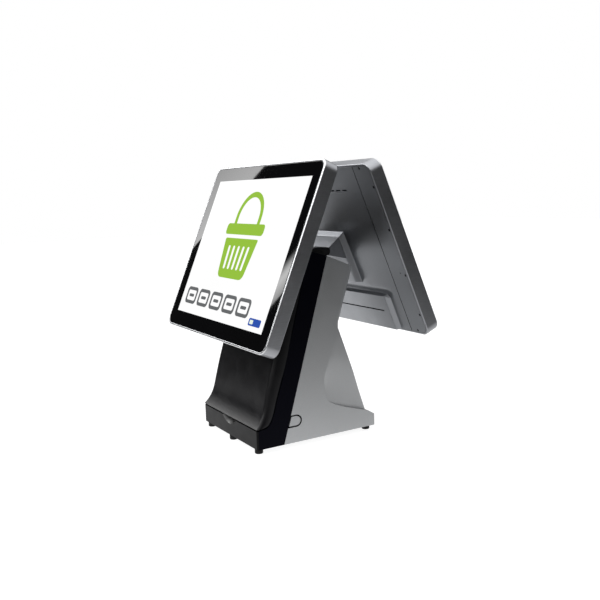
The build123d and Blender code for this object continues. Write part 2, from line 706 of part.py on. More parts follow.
def frustum(base, top, base_z, top_z):
    """Loft between two rectangles, each (half width, y0, y1)."""
    return loft([Pos(0, (y0 + y1) / 2, z) * Rectangle(2 * half, y1 - y0)
                 for (half, y0, y1), z in ((base, base_z), (top, top_z))])


def rear_cover():
    """Centre of the rear: flat sheet with the arm seat and the lower block."""
    cover = slab(2 * SEAM_X - 0.5, 2 * COVER_Y, 0, BACK, COVER_IN)
    plinth = frustum((45, -59, 31), (41.5, -55, 26), BACK + 0.5, PLINTH_Z)
    plinth_in = frustum((43, -57, 29), (39.5, -53, 24), COVER_IN + 1.0, PLINTH_Z + 2)
    block = frustum((106.5, -COVER_Y, -75.6), (100, -COVER_Y, -76.6), BACK + 0.5, BLOCK_Z)
    block_in = frustum((104, -COVER_Y + 2, -77.8), (98, -COVER_Y + 2, -78.6),
                       COVER_IN + 1.0, BLOCK_Z + 2)
    cover = cover + plinth + block - plinth_in - block_in
    # arm opening, vents and the long slot of the lower block
    cover = cover - box(-22, 22, -9.0, 24.0, PLINTH_Z - 2, BACK + 1)
    for i in range(12):
        cover = cover - slot(11.6, 2.0, 16.4 * (i - 5.5), 100.9, BACK, turn=0)
    return cover - box(-86, 86, -104.9, -102.4, BLOCK_Z - 2, BLOCK_Z + 3)


def rail_corner(edge):
    c = edge.center()
    return abs(abs(c.X) - COVER_X) < 0.01 and abs(abs(c.Y) - COVER_Y) < 0.01


def rear_rails():
    """Strips that close the rear on either side of the centre cover."""
    rails = []
    for side in SIDES:
        rail = box(side * (SEAM_X + 0.25), side * COVER_X, -COVER_Y, COVER_Y, BACK, COVER_IN)
        rail = rounded(rail, rail_corner, (INNER_R - 0.3,))
        for x, y in REAR_SCREWS:
            if x * side > 0:
                rail = rail - cyl_z(1.3, x, y, BACK - 1, BACK + 4)
                rail = rail - cyl_z(2.2, x, y, BACK - 1, BACK + 1.2)
        if side < 0:
            rail = rail - cyl_z(1.1, -154.7, -34.2, BACK - 1, BACK + 4)
        rails.append(rail)
    return rails


def rear_screws():
    screws = []
    for x, y in REAR_SCREWS:
        screw = cyl_z(1.95, x, y, BACK + 0.15, BACK + 1.15) + cyl_z(1.2, x, y, BACK + 1.0, -10.5)
        screws.append(cut_cross(screw, x, y, BACK + 0.1, 2.4, 0.5, 1.0))
    return screws


# (y, z) in the display's frame
NECK = [(21.5, MID_Z0 - 1), (21.5, -34), (16.8, -56.0), (17.5, -60.0), (11.5, -60.0),
        (9.5, -55.0), (-6.5, -34), (-6.5, MID_Z0 - 1)]
HOOD = [(26.0, PLINTH_Z - 0.1), (19.2, -56.5), (12.0, -60.5), (8.5, -60.5),
        (-11.5, PLINTH_Z - 0.1)]
HOOD_IN = [(24.2, PLINTH_Z + 1.1), (17.27, -56.0), (15.5, -62.3), (14.0, -64.8),
           (10.14, -59.35), (-9.86, PLINTH_Z + 1.1)]
KNUCKLE_R = 6.2
KNUCKLE_X = 19.9          # half width of the neck and knuckle


def arm_bracket():
    """Steel bracket with the moving knuckle."""
    arm = box(-36, 36, -28, 40, MID_Z0 - 3.05, MID_Z0 - 0.05)
    arm = arm + poly_x(NECK, -KNUCKLE_X, KNUCKLE_X)
    arm = arm + cyl_x(KNUCKLE_R, -KNUCKLE_X, KNUCKLE_X, AXIS_Y, AXIS_Z)
    arm = arm - box(-12, 12, -2, 16, -38, MID_Z0 - 3.05)
    arm = arm - cyl_x(PIN_R + RUN_GAP, -25, 25, AXIS_Y, AXIS_Z)
    for x, y in ARM_SCREWS:
        arm = arm - cyl_z(1.6, x, y, -20, -5)
    return arm


def arm_hood():
    hood = poly_x(HOOD, -41.5, 41.5) - poly_x(HOOD_IN, -39.7, 39.7)
    return hood - cyl_x(CAP_R + 0.9, -60, 60, AXIS_Y, AXIS_Z)


def arm_screws():
    screws = []
    head = MID_Z0 - 4.8
    for x, y in ARM_SCREWS:
        screw = cyl_z(1.5, x, y, MID_Z0 - 3.2, MID_Z1) + cyl_z(3.0, x, y, head, MID_Z0 - 3.1)
        screws.append(cut_cross(screw, x, y, head, 3.4, 0.7, 1.4))
    return screws


# -------------------------------------------------------------------- export
os.makedirs("parts", exist_ok=True)

for make in (front_cover, front_housing, cover_pivot_pins, rear_housing, power_button,
             power_switch, base_plate, rubber_feet, spine_bracket, spine_screws,
             friction_washers, hinge_nuts, hinge_cap, mainboard, board_standoffs, heatsink,
             io_connectors, io_panel, speaker, display_cables):
    save(make(), make.__name__)

save(hinge_pin(-1), "main_hinge_pin")
save(hinge_pin(1), "customer_hinge_pin")

for make in (frame, touch_glass, glass_tape, lcd_panel, light_guide, backlight_tray, mid_plate,
             controller_board, rear_cover, arm_bracket, arm_hood, rear_rails, rear_screws,
             arm_screws):
    piece = make()
    for owner, turn in (("main", 0), ("customer", 180)):
        place = Rot(0, 0, turn) * MAIN.location
        placed = [place * item for item in piece] if isinstance(piece, list) else place * piece
        save(placed, f"{owner}_{make.__name__}")
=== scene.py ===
# A two-sided till: a stand on the origin carrying two tilted displays. The main display faces -Y
# (the front), the customer display faces +Y, and +Z is up. Lengths are in millimetres unless a
# name or comment says otherwise; meshes are stored in metres.
import math

import bmesh
import bpy
import numpy as np
from mathutils import Matrix, Vector
from mathutils.geometry import delaunay_2d_cdt


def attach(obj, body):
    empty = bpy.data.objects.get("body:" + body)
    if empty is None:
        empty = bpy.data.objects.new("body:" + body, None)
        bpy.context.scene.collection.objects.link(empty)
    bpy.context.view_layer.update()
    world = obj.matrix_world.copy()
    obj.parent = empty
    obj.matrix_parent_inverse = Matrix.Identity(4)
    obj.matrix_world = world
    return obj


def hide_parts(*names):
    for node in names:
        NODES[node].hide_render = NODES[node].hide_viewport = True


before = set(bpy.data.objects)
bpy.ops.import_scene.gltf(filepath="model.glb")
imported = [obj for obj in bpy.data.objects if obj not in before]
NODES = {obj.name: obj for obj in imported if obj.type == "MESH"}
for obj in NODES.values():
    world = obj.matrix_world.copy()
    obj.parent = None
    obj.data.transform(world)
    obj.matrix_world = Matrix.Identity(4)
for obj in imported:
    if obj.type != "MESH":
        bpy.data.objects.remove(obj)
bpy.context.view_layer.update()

MM = 0.001
scene = bpy.context.scene

# ---------------------------------------------------------------- dimensions
# A display's own frame: x across, y up its face, z out of the glass.
TILT = math.radians(23.0)
SIN, COS = math.sin(TILT), math.cos(TILT)
MAIN = Matrix(((1, 0, 0, 0), (0, SIN, -COS, -98.05), (0, COS, SIN, 294.0), (0, 0, 0, 1)))
SIDES = (("main", MAIN), ("customer", Matrix.Rotation(math.pi, 4, "Z") @ MAIN))

FRAME_WIDTH, FRAME_HEIGHT, FRAME_DEPTH, FRAME_CORNER = 344.0, 280.0, 22.0, 15.0
FRAME_WALL = 3.0
GLASS_INSET = FRAME_WALL + 0.25
GLASS_FACE_Z, GLASS_BACK_Z = -0.1, -1.9
WINDOW_WIDTH, WINDOW_HEIGHT, WINDOW_Y = 304.1, 228.1, 0.6

REAR_HALF_WIDTH, REAR_HALF_HEIGHT = 131.55, 136.7
REAR_INNER_Z = -20.4
JOINT_WIDTH = 0.7                                  # lowered strip along each side
SLOT_Y, SLOT_HALF_HEIGHT, SLOT_HALF_WIDTH = -103.65, 1.15, 86.0
VENTS, VENT_START, VENT_PITCH = 12, -90.2, 16.4
VENT_Y, VENT_HALF_HEIGHT, VENT_HALF_WIDTH = 100.9, 1.0, 5.8
LIP_Y, LIP_HALF_WIDTH = 98.95, 6.3

STAND_HALF_WIDTH = 93.4
FRONT_SHIFT = 21.35                                # moves the cover's table toward -Y


# ------------------------------------------------------------------- helpers
def mesh_object(name, coords, faces, materials, face_slots=None, matrix=None, angle=28.0):
    """A smooth-shaded mesh from millimetre coordinates, with hard edges above the angle."""
    coords = np.array(coords, float).reshape(-1, 3)
    if matrix is not None:
        placing = np.array(matrix)
        coords = coords @ placing[:3, :3].T + placing[:3, 3]
    mesh = bpy.data.meshes.new(name)
    mesh.from_pydata((coords * MM).tolist(), [], [list(face) for face in faces])
    for material in materials:
        mesh.materials.append(material)
    if face_slots is not None:
        mesh.polygons.foreach_set("material_index", np.array(face_slots, np.int32))
    mesh.update()
    bm = bmesh.new()
    bm.from_mesh(mesh)
    bmesh.ops.remove_doubles(bm, verts=bm.verts, dist=1e-7)
    bmesh.ops.recalc_face_normals(bm, faces=bm.faces)
    bm.to_mesh(mesh)
    bm.free()
    mesh.polygons.foreach_set("use_smooth", [True] * len(mesh.polygons))
    mesh.set_sharp_from_angle(angle=math.radians(angle))
    ob = bpy.data.objects.new(name, mesh)
    scene.collection.objects.link(ob)
    return ob


def settle(ob, body, slot, *nodes):
    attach(ob, body)
    if nodes:
        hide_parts(*nodes)


def paint(ob, *materials):
    ob.data.materials.clear()
    for material in materials:
        ob.data.materials.append(material)


def add_weighted_normals(ob):
    normals = ob.modifiers.new("Normals", "WEIGHTED_NORMAL")
    normals.keep_sharp = True
    return normals


def round_rect(width, height, radius, steps, center_y=0.0):
    """Points round a rectangle with round corners, counter-clockwise."""
    radius = max(radius, 0.05)
    points = []
    for corner, (side_x, side_y) in enumerate(((1, -1), (1, 1), (-1, 1), (-1, -1))):
        x, y = side_x * (width / 2 - radius), side_y * (height / 2 - radius)
        start = -math.pi / 2 + corner * math.pi / 2
        for i in range(steps + 1):
            angle = start + math.pi / 2 * i / steps
            points.append((x + radius * math.cos(angle),
                           center_y + y + radius * math.sin(angle)))
    return points


def frame_loop(inset, z, steps):
    """The display frame's outline at height z, moved inward by inset."""
    outline = round_rect(FRAME_WIDTH - 2 * inset, FRAME_HEIGHT - 2 * inset,
                         FRAME_CORNER - inset, steps)
    return [(x, y, z) for x, y in outline]


def skin_loops(loops):
    """Quads from each loop to the next, and from the last back to the first."""
    count = len(loops[0])
    faces = []
    for i in range(len(loops)):
        here, there = i * count, (i + 1) % len(loops) * count
        for a in range(count):
            b = (a + 1) % count
            faces.append((here + a, here + b, there + b, there + a))
    return [point for loop in loops for point in loop], faces


# ---------------------------------------------------------------- node graph
class Graph:
    """Short ways to add shader nodes to one material or world."""

    def __init__(self, tree):
        self.tree = tree

    def new(self, kind):
        return self.tree.nodes.new("ShaderNode" + kind)

    def feed(self, node, inputs):
        """Link or set each named or numbered input."""
        for key, value in inputs.items():
            if isinstance(value, bpy.types.NodeSocket):
                self.tree.links.new(value, node.inputs[key])
            else:
                node.inputs[key].default_value = value

    def coords(self, stretch=(1, 1, 1)):
        texture = self.new("TexCoord")
        mapping = self.new("Mapping")
        self.feed(mapping, {"Scale": stretch, "Vector": texture.outputs["Object"]})
        return mapping.outputs["Vector"]

    def noise(self, place, scale, detail, roughness=0.55):
        node = self.new("TexNoise")
        self.feed(node, {"Scale": scale, "Detail": detail, "Roughness": roughness,
                         "Vector": place})
        return node.outputs["Fac"]

    def ramp(self, factor, stops):
        """Colour ramp; each stop is (position, grey value or colour)."""
        node = self.new("ValToRGB")
        elements = node.color_ramp.elements
        while len(elements) < len(stops):
            elements.new(0.5)
        for element, (position, value) in zip(elements, stops):
            rgb = (value,) * 3 if isinstance(value, (int, float)) else value
            element.position = position
            element.color = (*rgb, 1.0)
        self.feed(node, {"Fac": factor})
        return node.outputs["Color"]

    def tint(self, factor, color, dark, light, low=0.3, high=0.7):
        """The colour times dark where the factor is low, times light where it is high."""
        return self.ramp(factor, [(low, tuple(c * dark for c in color)),
                                  (high, tuple(min(1, c * light) for c in color))])

    def graded(self, factor, stops):
        """Piecewise-linear value from a 0-1 input; stop values may be above 1."""
        top = max(value for _, value in stops)
        return self.times(self.ramp(factor, [(place, value / top) for place, value in stops]), top)

    def math(self, operation, a, b=0.0):
        node = self.new("Math")
        node.operation = operation
        self.feed(node, {0: a, 1: b})
        return node.outputs[0]

    def plus(self, a, b):
        return self.math("ADD", a, b)

    def minus(self, a, b):
        return self.math("SUBTRACT", a, b)

    def times(self, a, b):
        return self.math("MULTIPLY", a, b)

    def dot(self, vector, direction):
        node = self.new("VectorMath")
        node.operation = "DOT_PRODUCT"
        self.feed(node, {0: vector, 1: direction})
        return node.outputs["Value"]

    def step(self, value, zero, one):
        """Smooth step: 0 where the value is at zero, 1 where it is at one."""
        node = self.new("MapRange")
        node.interpolation_type = "SMOOTHSTEP"
        node.clamp = True
        rising = zero < one
        self.feed(node, {"Value": value, "From Min": min(zero, one), "From Max": max(zero, one),
                         "To Min": 0.0 if rising else 1.0, "To Max": 1.0 if rising else 0.0})
        return node.outputs["Result"]

    def cone(self, vector, direction, outer, inner):
        """1 within inner degrees of the direction, fading to 0 at outer degrees."""
        return self.step(self.dot(vector, direction), zero=math.cos(math.radians(outer)),
                         one=math.cos(math.radians(inner)))

    def bump(self, bsdf, height, strength, distance):
        node = self.new("Bump")
        self.feed(node, {"Strength": strength, "Distance": distance, "Height": height})
        self.feed(bsdf, {"Normal": node.outputs["Normal"]})

    def camera_switch(self, mirrored, seen, output):
        """One shader for camera rays, another for all other rays."""
        path = self.new("LightPath")
        mix = self.new("MixShader")
        self.feed(mix, {"Fac": path.outputs["Is Camera Ray"], 1: mirrored, 2: seen})
        self.feed(self.tree.nodes[output], {"Surface": mix.outputs[0]})


def new_material(name):
    material = bpy.data.materials.new(name)
    material.use_nodes = True
    tree = material.node_tree
    return material, Graph(tree), tree.nodes["Principled BSDF"]


# ----------------------------------------------------------------- materials
def plastic(name, color, rough, grain, grain_strength, specular):
    """Moulded plastic: spark-eroded grain, with slight blotches in colour and sheen."""
    material, g, bsdf = new_material(name)
    place = g.coords()
    blotches = g.noise(place, scale=9.0, detail=5.0)
    fine = g.noise(place, scale=grain, detail=2.0)
    sheen = g.noise(place, scale=40.0, detail=6.0)
    g.feed(bsdf, {
        "Base Color": g.tint(blotches, color, dark=0.88, light=1.12),
        "Roughness": g.ramp(sheen, [(0.3, rough - 0.05), (0.72, rough + 0.06)]),
        "Specular IOR Level": specular,
    })
    g.bump(bsdf, fine, strength=grain_strength, distance=0.00003)
    return material


def metal_paint(name, color, rough, metallic):
    """Satin metallic paint: fine flakes that vary in brightness, very slight orange peel."""
    material, g, bsdf = new_material(name)
    place = g.coords()
    flakes = g.new("TexVoronoi")
    g.feed(flakes, {"Scale": 2600.0, "Vector": place})
    flake_color = g.new("SeparateColor")
    g.feed(flake_color, {"Color": flakes.outputs["Color"]})
    blotches = g.noise(place, scale=7.0, detail=4.0)
    mix = g.plus(g.times(flake_color.outputs["Red"], 0.2), g.times(blotches, 0.25))
    sheen = g.noise(place, scale=55.0, detail=5.0)
    g.feed(bsdf, {
        "Base Color": g.tint(mix, color, dark=0.9, light=1.1, low=0.08, high=0.38),
        "Roughness": g.ramp(sheen, [(0.3, rough - 0.03), (0.7, rough + 0.04)]),
        "Metallic": metallic,
        "Coat Roughness": 0.2,
    })
    grain = g.times(g.noise(place, scale=3200.0, detail=2.0), 0.7)
    peel = g.times(g.noise(place, scale=420.0, detail=2.0), 0.6)
    g.bump(bsdf, g.plus(grain, peel), strength=0.16, distance=0.00003)
    return material


def brushed(name, color, rough, stretch, depth):
    """Brushed or ground metal: fine stretched scratches and a little unevenness in the sheen."""
    material, g, bsdf = new_material(name)
    scratches = g.noise(g.coords(stretch), scale=1.0, detail=6.0, roughness=0.65)
    blotches = g.noise(g.coords(), scale=12.0, detail=3.0)
    sheen = g.plus(g.times(scratches, 0.6), g.times(blotches, 0.4))
    g.feed(bsdf, {
        "Base Color": g.tint(scratches, color, dark=0.88, light=1.1),
        "Roughness": g.ramp(sheen, [(0.3, rough - 0.07), (0.7, rough + 0.08)]),
        "Metallic": 1.0,
    })
    g.bump(bsdf, scratches, strength=depth, distance=0.00002)
    return material


def glossy_black(name, color, rough):
    """Printed border under toughened glass: near black, with faint smudges in the gloss."""
    material, g, bsdf = new_material(name)
    place = g.coords()
    smudges = g.noise(place, scale=14.0, detail=6.0, roughness=0.6)
    blotches = g.noise(place, scale=5.0, detail=3.0)
    g.feed(bsdf, {
        "Roughness": g.ramp(smudges, [(0.35, rough), (0.75, rough + 0.02)]),
        "Base Color": g.tint(blotches, color, dark=0.8, light=1.3),
        "Specular IOR Level": 0.5,
        "IOR": 1.5,
    })
    return material


def lit(name, color):
    """A lit area of the picture behind the glass, very slightly uneven."""
    material, g, bsdf = new_material(name)
    place = g.coords()
    smudges = g.noise(place, scale=14.0, detail=6.0, roughness=0.6)
    glow = g.noise(place, scale=6.0, detail=2.0)
    g.feed(bsdf, {
        "Base Color": (0.01, 0.01, 0.01, 1),
        "Roughness": g.ramp(smudges, [(0.35, 0.05), (0.75, 0.1)]),
        "Emission Color": g.tint(glow, color, dark=0.985, light=1.0),
        "Emission Strength": 1.0,
        "Specular IOR Level": 0.04,
    })
    return material


# key: (material name, colour, roughness, grain scale, grain strength, specular level)
PLASTICS = {
    "black_shell": ("black_shell_moulded", (0.0022, 0.0023, 0.003), 0.36, 2400.0, 0.3, 0.11),
    # a darker, bluer copy of the black plastic, painted shade for the side faces
    "shaded_black": ("black_plastic_painted_side_shade", (0.0011, 0.0012, 0.004), 0.4, 2400.0, 0.3, 0.05),
    # a lighter, more reflective copy of the black plastic for the front dish, a painted highlight
    "dish_highlight": ("dish_painted_highlight", (0.014, 0.014, 0.014), 0.32, 2400.0, 0.1, 1.0),
    "black_cover": ("black_cover_moulded", (0.0024, 0.0023, 0.0034), 0.33, 1700.0, 0.3, 0.37),
    "black_part": ("black_part_moulded", (0.008, 0.008, 0.009), 0.38, 2600.0, 0.2, 0.4),
    "rubber": ("foot_rubber", (0.006, 0.006, 0.006), 0.72, 1500.0, 0.5, 0.3),
    "board": ("green_board", (0.01, 0.085, 0.035), 0.32, 700.0, 0.4, 0.5),
    "tape": ("foam_tape", (0.02, 0.02, 0.02), 0.85, 3000.0, 0.6, 0.2),
    "acrylic": ("clear_guide", (0.75, 0.76, 0.78), 0.12, 300.0, 0.1, 0.4),
    "cell": ("panel_cell", (0.02, 0.02, 0.022), 0.2, 500.0, 0.1, 0.4),
    "cable": ("cable_jacket", (0.008, 0.008, 0.008), 0.5, 900.0, 0.3, 0.4),
    # near-black painted shade for the insides of slots, vents, joints and gaps
    "painted_shade": ("slot_shadow", (0.002, 0.002, 0.002), 0.8, 900.0, 0.2, 0.1),
}
# key: (material name, colour, roughness, scratch frequency along x, y, z, scratch depth)
BRUSHED = {
    "frame_metal": ("frame_satin_side", (0.46, 0.47, 0.495), 0.36, (60.0, 60.0, 2600.0), 0.12),
    "frame_bright": ("frame_polished_edge", (0.82, 0.83, 0.85), 0.27, (30.0, 30.0, 2600.0), 0.01),
    "zinc": ("zinc_sheet", (0.42, 0.43, 0.44), 0.36, (900.0, 60.0, 900.0), 0.15),
    "steel": ("ground_steel", (0.5, 0.5, 0.52), 0.26, (2400.0, 80.0, 80.0), 0.15),
    "screw": ("black_oxide_screw", (0.03, 0.03, 0.033), 0.34, (900.0, 900.0, 900.0), 0.1),
    "fins": ("black_fins", (0.03, 0.03, 0.032), 0.4, (60.0, 1500.0, 1500.0), 0.1),
}
# Picture colours, in the order of their slots on the picture mesh.
PICTURE_COLORS = {
    "picture_white": (1.0, 1.0, 1.0),
    "picture_green": (0.30, 0.535, 0.045),
    "picture_grey": (0.13, 0.135, 0.14),
    "picture_blue": (0.02, 0.08, 0.42),
    "picture_pale": (0.80, 0.90, 0.78),
}
WHITE, GREEN, GREY, BLUE, PALE, BORDER = range(6)

MATERIALS = {key: plastic(*row) for key, row in PLASTICS.items()}
MATERIALS.update({key: brushed(*row) for key, row in BRUSHED.items()})
MATERIALS["silver_shell"] = metal_paint("silver_satin_paint", (0.50, 0.51, 0.52),
                                        rough=0.4, metallic=0.75)
MATERIALS["rear_shell"] = metal_paint("grey_satin_paint", (0.33, 0.34, 0.36),
                                      rough=0.34, metallic=0.85)
MATERIALS["glass_border"] = glossy_black("glass_black_border", (0.0016, 0.0016, 0.002), rough=0.01)
PICTURE_MATERIALS = [lit(name, color) for name, color in PICTURE_COLORS.items()]


# ------------------------------------------------------------ display frames
def profile_arc(inset, z, radius, start, end, steps, slot):
    """Arc of the frame's section about (inset, z); angles in degrees."""
    angles = [math.radians(start + (end - start) * i / steps) for i in range(steps + 1)]
    return [(inset + radius * math.cos(a), z + radius * math.sin(a), slot) for a in angles]


def build_frame(side, matrix):
    satin, bright = 0, 1
    # Closed section: (inset, z, slot of the strip to the next point).
    profile = [
        *profile_arc(2.75, -0.35, 0.25, 0, 90, 2, bright),       # inner lip of the bright edge
        *profile_arc(1.45, -1.52, 1.45, 96, 172, 7, bright),     # rolled front edge
        (0.0, -2.0, satin), (0.0, -20.75, satin),
        *profile_arc(1.15, -20.85, 1.15, 180, 265, 5, satin),    # back edge
        (1.6, -FRAME_DEPTH, satin), (2.7, -FRAME_DEPTH, satin), (2.95, -21.85, satin),
        (FRAME_WALL, -21.5, satin), (FRAME_WALL, -4.0, satin),
        (6.5, -4.0, satin), (6.5, -2.3, satin), (FRAME_WALL, -2.3, satin),   # ledge
    ]
    loops = [frame_loop(inset, z, steps=16) for inset, z, _ in profile]
    coords, faces = skin_loops(loops)
    slots = [slot for _, _, slot in profile for _ in loops[0]]
    ob = mesh_object(f"{side}_bezel", coords, faces,
                     [MATERIALS["frame_metal"], MATERIALS["frame_bright"]], slots, matrix, angle=26)
    settle(ob, f"{side}_display", "frame_metal", f"{side}_frame")


def build_glass(side, matrix):
    """The glass as a ring round the picture window."""
    steps = 14
    # (inset from the glass edge, z), from the back round the edge to the face
    edge = [(0.0, GLASS_BACK_Z), (0.0, -0.42), (0.04, -0.28), (0.13, -0.17),
            (0.32, GLASS_FACE_Z), (0.9, GLASS_FACE_Z)]
    loops = [frame_loop(GLASS_INSET + inset, z, steps) for inset, z in edge]
    window = round_rect(WINDOW_WIDTH, WINDOW_HEIGHT, 0.1, steps, WINDOW_Y)
    loops += [[(x, y, z) for x, y in window] for z in (GLASS_FACE_Z, GLASS_BACK_Z)]
    coords, faces = skin_loops(loops)
    ob = mesh_object(f"{side}_cover_glass", coords, faces, [MATERIALS["glass_border"]],
                     matrix=matrix, angle=30)
    settle(ob, f"{side}_display", "cover_glass", f"{side}_touch_glass")


# ------------------------------------------------------------------- picture
def round_poly(points, radii, steps=6):
    """A polygon with its corners rounded, one radius per corner."""
    outline = []
    for i, (point, radius) in enumerate(zip(points, radii)):
        corner = Vector(point)
        back = Vector(points[i - 1]) - corner
        ahead = Vector(points[(i + 1) % len(points)]) - corner
        back_length, ahead_length = back.length, ahead.length
        back, ahead = back / back_length, ahead / ahead_length
        half = math.acos(max(-1, min(1, back.dot(ahead)))) / 2
        cut = min(radius / math.tan(half), back_length * 0.48, ahead_length * 0.48)
        radius = cut * math.tan(half)
        start, end = corner + back * cut, corner + ahead * cut
        center = corner + (back + ahead).normalized() * (radius / math.sin(half))
        first = math.atan2(start.y - center.y, start.x - center.x)
        last = math.atan2(end.y - center.y, end.x - center.x)
        turn = (last - first + math.pi) % (2 * math.pi) - math.pi
        for k in range(steps + 1):
            angle = first + turn * k / steps
            outline.append((center.x + radius * math.cos(angle),
                            center.y + radius * math.sin(angle)))
    return outline


def box(left, right, bottom, top, radius):
    return round_poly([(left, bottom), (right, bottom), (right, top), (left, top)], [radius] * 4)


def half_ring(center_y, inner, outer, steps=28):
    """The upper half of a ring centred on x = 0."""
    outline = []
    for radius, start, end in ((outer, 0, 180), (inner, 180, 0)):
        for i in range(steps + 1):
            angle = math.radians(start + (end - start) * i / steps)
            outline.append((radius * math.cos(angle), center_y + radius * math.sin(angle)))
    return outline


def basket():
    """Artwork of a shopping basket: (slot, outline), later shapes on top."""
    inner, outer = 33, 42
    art = [
        (GREEN, half_ring(52, inner, outer)),                # handle
        (GREEN, box(-outer, -inner, 38, 53, 0.2)),
        (GREEN, box(inner, outer, 38, 53, 0.2)),
        (GREEN, box(-62, 62, 24, 42, 6)),                    # rim
        (GREEN, round_poly([(-54, 18), (54, 18), (42, -46), (-42, -46)], [3, 3, 12, 12])),
    ]
    for k in range(5):                                       # white strips leaning inward
        x = -32 + 16 * k
        lean = -x * 0.1
        strip = [(x - 3.2, 6), (x + 3.2, 6), (x + 3.2 + lean, -32), (x - 3.2 + lean, -32)]
        art.append((WHITE, round_poly(strip, [3.0] * 4)))
    return art


def main_keys():
    """A row of plain keys and one confirm key."""
    art = []
    for k in range(5):
        left = -131 + k * 46.5
        art.append((GREY, box(left, left + 40, -98, -70, 7)))
        art.append((WHITE, box(left + 5.5, left + 34.5, -92.5, -75.5, 3)))
        art.append((GREY, box(left + 11, left + 29, -86.5, -81.5, 2.3)))
    art.append((BLUE, box(103, 138, -106, -95, 2.5)))
    art.append((PALE, box(106, 116, -103.5, -97.5, 1.5)))
    return art


def customer_bill():
    """Plain bars, as on a bill, and a total bar."""
    art = []
    for k in range(4):
        bottom, top = -64 - 11 * k, -59 - 11 * k
        art.append((GREY, box(-118, -20 + 14 * (k % 2), bottom, top, 2.2)))
        art.append((GREY, box(82, 118, bottom, top, 2.2)))
    art.append((BLUE, box(100, 134, -108, -100, 2.5)))
    return art


def build_picture(side, matrix):
    """A flat mesh cut along the artwork, closed behind into a shallow block."""
    gap = 0.02
    right, left = WINDOW_WIDTH / 2 - gap, -WINDOW_WIDTH / 2 + gap
    bottom, top = WINDOW_Y - WINDOW_HEIGHT / 2 + gap, WINDOW_Y + WINDOW_HEIGHT / 2 - gap
    window = [(left, bottom), (right, bottom), (right, top), (left, top)]
    # The lit picture leaves a black margin at the left and right of the window.
    lit_left, lit_right = left + 6.0, right - 3.5
    art = [(WHITE, [(lit_left, bottom), (lit_right, bottom), (lit_right, top), (lit_left, top)])]
    art += basket() + (main_keys() if side == "main" else customer_bill())

    points, polygons = [], []
    for outline in [window] + [outline for _, outline in art]:
        double_area = sum(p[0] * q[1] - q[0] * p[1]
                          for p, q in zip(outline, outline[1:] + outline[:1]))
        if double_area < 0:
            outline = outline[::-1]
        polygons.append(list(range(len(points), len(points) + len(outline))))
        points.extend(Vector(p) for p in outline)
    flat, _, cells, _, _, sources = delaunay_2d_cdt(points, [], polygons, 1, 1e-5, True)

    coords = [(p.x, p.y, GLASS_FACE_Z) for p in flat]
    count = len(coords)
    faces = [tuple(cell) for cell in cells]
    # Source 0 is the bare window; the highest source is the shape on top.
    slots = [art[max(source) - 1][0] if max(source) > 0 else BORDER for source in sources]
    corners = [min(range(count), key=lambda i: (coords[i][0] - x) ** 2 + (coords[i][1] - y) ** 2)
               for x, y in window]
    coords += [(x, y, GLASS_BACK_Z) for x, y in window]
    for k in range(4):
        after = (k + 1) % 4
        faces.append((corners[k], count + k, count + after, corners[after]))
    faces.append((count + 3, count + 2, count + 1, count))
    slots += [BORDER] * 5
    ob = mesh_object(f"{side}_screen_picture", coords, faces,
                     PICTURE_MATERIALS + [MATERIALS["glass_border"]], slots, matrix, angle=30)
    settle(ob, f"{side}_display", "lcd_glass")


# ---------------------------------------------------------------- rear cover
def soft_clamp(t, softness):
    """Clamp to 0-1 with rounded ends."""
    return 0.5 * (np.sqrt(t * t + softness * softness)
                  - np.sqrt((t - 1) ** 2 + softness * softness) + 1)


def soft_min(a, b, width):
    mix = np.clip(0.5 + 0.5 * (b - a) / width, 0, 1)
    return b * (1 - mix) + a * mix - width * mix * (1 - mix)


def rear_height(x, y):
    """Height of the rear cover's outer face above its base plane, and where painted shade goes
    (vents, slot and side joint).
    """
    across = np.abs(x)
    # seat of the arm
    seat = soft_min((45.0 - across) / 3.5, (31.0 - y) / 5.0, 0.25)
    seat = soft_min(seat, (y + 59.0) / 4.0, 0.25)
    height = 10.0 * soft_clamp(seat, 0.09)
    # lower block: steep upper wall, cut corners, inclined side walls
    corner = (-(across - 101.0) * 0.72 - (y + 77.5)) / 1.3
    block = soft_min((106.6 - across) / 6.4, (-75.6 - y) / 1.2, 0.12)
    block = soft_clamp(soft_min(block, corner, 0.12), 0.05)
    height = height + 6.0 * block
    # soft hollow just above the block, running out past its corners
    hollow = np.exp(-((y + 72.6 + 0.05 * np.maximum(across - 92, 0)) / 5.2) ** 2)
    hollow = hollow / (1 + np.exp((across - 112.0) / 3.0))
    height = height - 1.5 * hollow * (1 - np.clip(block, 0, 1))
    # long slot across the block, painted with shade inside
    slot = (np.abs(y - SLOT_Y) < SLOT_HALF_HEIGHT) & (across < SLOT_HALF_WIDTH)
    height = np.where(slot, height - 2.6, height)
    # row of vents, each with a small raised lip below it; the vents are painted with shade inside
    nearest = np.clip(np.round((x - VENT_START) / VENT_PITCH), 0, VENTS - 1)
    offset = np.abs(x - (VENT_START + nearest * VENT_PITCH))
    vent = (offset < VENT_HALF_WIDTH) & (np.abs(y - VENT_Y) < VENT_HALF_HEIGHT)
    lip = 0.5 * np.exp(-((y - LIP_Y) / 0.55) ** 2) * (offset < LIP_HALF_WIDTH)
    height = np.where(vent, height - 1.5, height + lip)
    # rounded outer edges
    edge = np.minimum(REAR_HALF_WIDTH - across, REAR_HALF_HEIGHT - np.abs(y))
    height = height - 0.25 * np.clip(1 - edge / 0.3, 0, 1) ** 2
    # step down to the joint with the side rails; the joint strip is painted with shade
    joint = across > REAR_HALF_WIDTH - JOINT_WIDTH
    return np.where(joint, height - 0.9, height), vent | slot | joint


